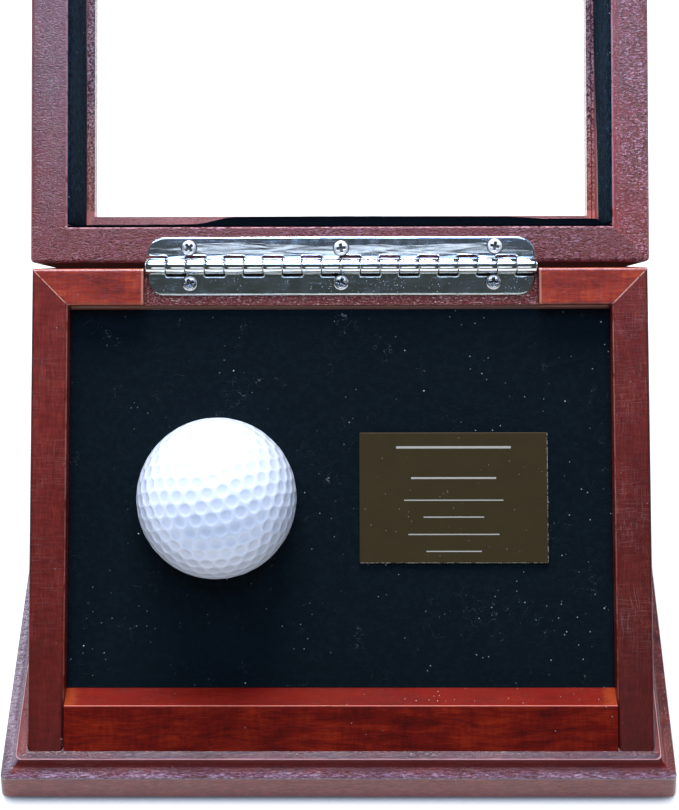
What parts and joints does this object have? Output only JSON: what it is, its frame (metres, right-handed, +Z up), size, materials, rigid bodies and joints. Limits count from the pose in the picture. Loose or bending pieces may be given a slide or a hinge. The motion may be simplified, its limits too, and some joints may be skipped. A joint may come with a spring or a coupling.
{
  "type": "golf ball display case",
  "caption": "Desktop golf ball display case: sloping velvet panel with a ball seat and nameplate on a moulded wooden base, under a deep hinged glazed lid.",
  "frame": {"origin": "centre of the felt's resting face under the base", "axes": "+Z up, +Y to the back (the hinge side), +X to the viewer's right; lid open at rest"},
  "size_m": [0.1808, 0.238, 0.165],
  "materials": {
    "wood_base": "stained, clear lacquered",
    "wood_stiles": "stained, clear lacquered",
    "wood_rails": "stained, clear lacquered",
    "wood_lid": "stained, clear lacquered, leathery",
    "wood_plain": "sawn, unfinished",
    "felt": "pressed felt",
    "velvet": "short-pile velvet",
    "plate": "darkened, lightly worn",
    "hinge": "polished plate, dulled",
    "screw": "plated",
    "glass": "clear",
    "ball": "dimpled gloss cover"
  },
  "bodies": {
    "case": {"base_plate": "wood_base", "base_felt": "felt", "base_screws": "screw", "left_side_board": "wood_stiles", "right_side_board": "wood_stiles", "top_rail": "wood_rails", "front_rail": "wood_rails", "back_board": "wood_plain", "display_board": "wood_plain", "velvet_facing": "velvet", "left_cleat": "wood_plain", "right_cleat": "wood_plain", "nameplate": "plate", "hinge_body_leaf": "hinge", "hinge_pin": "screw", "body_hinge_screws": "screw"},
    "lid": {"hinge_lid_leaf": "hinge", "lid_hinge_screws": "screw", "lid_left_rail": "wood_lid", "lid_right_rail": "wood_lid", "lid_hinge_rail": "wood_lid", "lid_front_rail": "wood_lid", "lid_glass": "glass", "lid_lining_hinge": "velvet", "lid_lining_front": "velvet", "lid_lining_left": "velvet", "lid_lining_right": "velvet"},
    "ball": {"golf_ball": "ball"}
  },
  "joints": [
    {"name": "lid_hinge", "type": "hinge", "parent": "case", "child": "lid", "pos_m": [0, 0.03908, 0.08954], "axis": [1, 0, 0], "range_deg": [0, 177.5]},
    {"name": "ball_lift", "type": "slide", "parent": "case", "child": "ball", "axis": [0, -0.5736, 0.8192], "range_m": [0, 0.012]}
  ]
}
